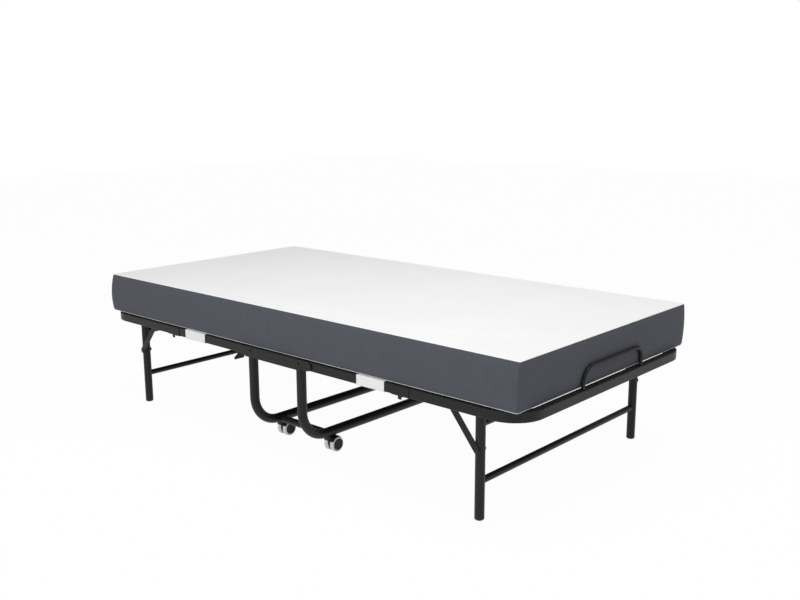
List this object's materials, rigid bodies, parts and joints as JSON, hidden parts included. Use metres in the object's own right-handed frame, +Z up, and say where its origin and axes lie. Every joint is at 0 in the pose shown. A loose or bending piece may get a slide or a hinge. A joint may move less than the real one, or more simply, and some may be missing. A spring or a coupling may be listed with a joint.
{
  "type": "folding bed",
  "caption": "Folding bed with a wheeled centre section, two halves that fold up, folding legs, and a foam mattress.",
  "frame": {"origin": "on the floor, under the middle of the bed", "axes": "+X along the bed to the foot end, which has the retainer bar; +Y across it to the left of someone looking from head to foot; +Z up"},
  "size_m": [1.9424, 0.9682, 0.4934],
  "materials": {
    "mattress_cloth": "woven cloth, pale on top and dark grey round the sides",
    "strap_cloth": "pale webbing",
    "black_frame": "satin black powder coat",
    "dark_fasteners": "blackened steel",
    "foot_cap_plastic": "moulded",
    "caster_plastic": "moulded",
    "wheel_rubber": "pale tread with a dark hub"
  },
  "bodies": {
    "centre_base": {"head_u_frame": "black_frame", "foot_u_frame": "black_frame", "stretchers": "black_frame", "centre_rails": "black_frame", "centre_outer_plates": "black_frame", "centre_inner_plates": "black_frame", "hinge_pins": "dark_fasteners", "u_frame_bolts": "dark_fasteners", "centre_cross_tubes": "black_frame", "centre_slats": "black_frame", "caster_sockets": "caster_plastic", "mattress_middle": "mattress_cloth"},
    "head_half": {"head_end_rail": "black_frame", "head_side_rails": "black_frame", "head_rail_sleeves": "black_frame", "head_sleeve_bolts": "dark_fasteners", "head_slats": "black_frame", "head_leg_brackets": "black_frame", "head_leg_bolts": "dark_fasteners", "head_straps": "strap_cloth", "mattress_head": "mattress_cloth"},
    "foot_half": {"foot_end_rail": "black_frame", "foot_side_rails": "black_frame", "foot_rail_sleeves": "black_frame", "foot_sleeve_bolts": "dark_fasteners", "foot_slats": "black_frame", "foot_leg_brackets": "black_frame", "foot_leg_bolts": "dark_fasteners", "foot_straps": "strap_cloth", "mattress_foot": "mattress_cloth", "foot_retainer_bar": "black_frame"},
    "head_legs": {"head_near_leg": "black_frame", "head_far_leg": "black_frame", "head_foot_caps": "foot_cap_plastic", "head_crossbar": "black_frame", "head_upper_crossbar": "black_frame", "head_brace_bolts": "dark_fasteners", "head_catch": "black_frame"},
    "foot_legs": {"foot_near_leg": "black_frame", "foot_far_leg": "black_frame", "foot_foot_caps": "foot_cap_plastic", "foot_crossbar": "black_frame", "foot_upper_crossbar": "black_frame", "foot_brace_bolts": "dark_fasteners"},
    "head_brace_pair": {"head_braces": "black_frame"},
    "foot_brace_pair": {"foot_braces": "black_frame"},
    "swivel_head_near": {"caster_head_near": "caster_plastic"},
    "roller_head_near_a": {"wheel_head_near_a": "wheel_rubber"},
    "roller_head_near_b": {"wheel_head_near_b": "wheel_rubber"},
    "swivel_head_far": {"caster_head_far": "caster_plastic"},
    "roller_head_far_a": {"wheel_head_far_a": "wheel_rubber"},
    "roller_head_far_b": {"wheel_head_far_b": "wheel_rubber"},
    "swivel_foot_near": {"caster_foot_near": "caster_plastic"},
    "roller_foot_near_a": {"wheel_foot_near_a": "wheel_rubber"},
    "roller_foot_near_b": {"wheel_foot_near_b": "wheel_rubber"},
    "swivel_foot_far": {"caster_foot_far": "caster_plastic"},
    "roller_foot_far_a": {"wheel_foot_far_a": "wheel_rubber"},
    "roller_foot_far_b": {"wheel_foot_far_b": "wheel_rubber"}
  },
  "joints": [
    {"name": "head_fold", "type": "hinge", "parent": "centre_base", "child": "head_half", "pos_m": [-0.1654, 0, 0.331], "axis": [0, 1, 0], "range_deg": [0, 90], "deforming": ["mattress_middle"]},
    {"name": "head_leg_fold", "type": "hinge", "parent": "head_half", "child": "head_legs", "pos_m": [-0.806, 0, 0.322], "axis": [0, -1, 0], "range_deg": [0, 90]},
    {"name": "head_brace_turn", "type": "hinge", "parent": "head_legs", "child": "head_brace_pair", "pos_m": [-0.806, 0, 0.206], "axis": [0, 1, 0], "range_deg": [0, 138]},
    {"name": "foot_fold", "type": "hinge", "parent": "centre_base", "child": "foot_half", "pos_m": [0.1654, 0, 0.331], "axis": [0, -1, 0], "range_deg": [0, 90], "deforming": ["mattress_middle"]},
    {"name": "foot_leg_fold", "type": "hinge", "parent": "foot_half", "child": "foot_legs", "pos_m": [0.806, 0, 0.322], "axis": [0, 1, 0], "range_deg": [0, 90]},
    {"name": "foot_brace_turn", "type": "hinge", "parent": "foot_legs", "child": "foot_brace_pair", "pos_m": [0.806, 0, 0.206], "axis": [0, -1, 0], "range_deg": [0, 138]},
    {"name": "caster_swivel_head_near", "type": "hinge", "parent": "centre_base", "child": "swivel_head_near", "pos_m": [-0.118, -0.35, 0.06], "axis": [0, 0, 1], "continuous": true},
    {"name": "wheel_spin_head_near_a", "type": "hinge", "parent": "swivel_head_near", "child": "roller_head_near_a", "pos_m": [-0.1315, -0.327, 0.025], "axis": [1, 0, 0], "continuous": true},
    {"name": "wheel_spin_head_near_b", "type": "hinge", "parent": "swivel_head_near", "child": "roller_head_near_b", "pos_m": [-0.1045, -0.327, 0.025], "axis": [1, 0, 0], "continuous": true},
    {"name": "caster_swivel_head_far", "type": "hinge", "parent": "centre_base", "child": "swivel_head_far", "pos_m": [-0.118, 0.35, 0.06], "axis": [0, 0, 1], "continuous": true},
    {"name": "wheel_spin_head_far_a", "type": "hinge", "parent": "swivel_head_far", "child": "roller_head_far_a", "pos_m": [-0.1315, 0.327, 0.025], "axis": [1, 0, 0], "continuous": true},
    {"name": "wheel_spin_head_far_b", "type": "hinge", "parent": "swivel_head_far", "child": "roller_head_far_b", "pos_m": [-0.1045, 0.327, 0.025], "axis": [1, 0, 0], "continuous": true},
    {"name": "caster_swivel_foot_near", "type": "hinge", "parent": "centre_base", "child": "swivel_foot_near", "pos_m": [0.118, -0.35, 0.06], "axis": [0, 0, 1], "continuous": true},
    {"name": "wheel_spin_foot_near_a", "type": "hinge", "parent": "swivel_foot_near", "child": "roller_foot_near_a", "pos_m": [0.1045, -0.327, 0.025], "axis": [1, 0, 0], "continuous": true},
    {"name": "wheel_spin_foot_near_b", "type": "hinge", "parent": "swivel_foot_near", "child": "roller_foot_near_b", "pos_m": [0.1315, -0.327, 0.025], "axis": [1, 0, 0], "continuous": true},
    {"name": "caster_swivel_foot_far", "type": "hinge", "parent": "centre_base", "child": "swivel_foot_far", "pos_m": [0.118, 0.35, 0.06], "axis": [0, 0, 1], "continuous": true},
    {"name": "wheel_spin_foot_far_a", "type": "hinge", "parent": "swivel_foot_far", "child": "roller_foot_far_a", "pos_m": [0.1045, 0.327, 0.025], "axis": [1, 0, 0], "continuous": true},
    {"name": "wheel_spin_foot_far_b", "type": "hinge", "parent": "swivel_foot_far", "child": "roller_foot_far_b", "pos_m": [0.1315, 0.327, 0.025], "axis": [1, 0, 0], "continuous": true}
  ],
  "couplings": [
    {"joint": "head_brace_turn", "follows": "head_leg_fold", "ratio": 1.533},
    {"joint": "foot_brace_turn", "follows": "foot_leg_fold", "ratio": 1.533}
  ]
}
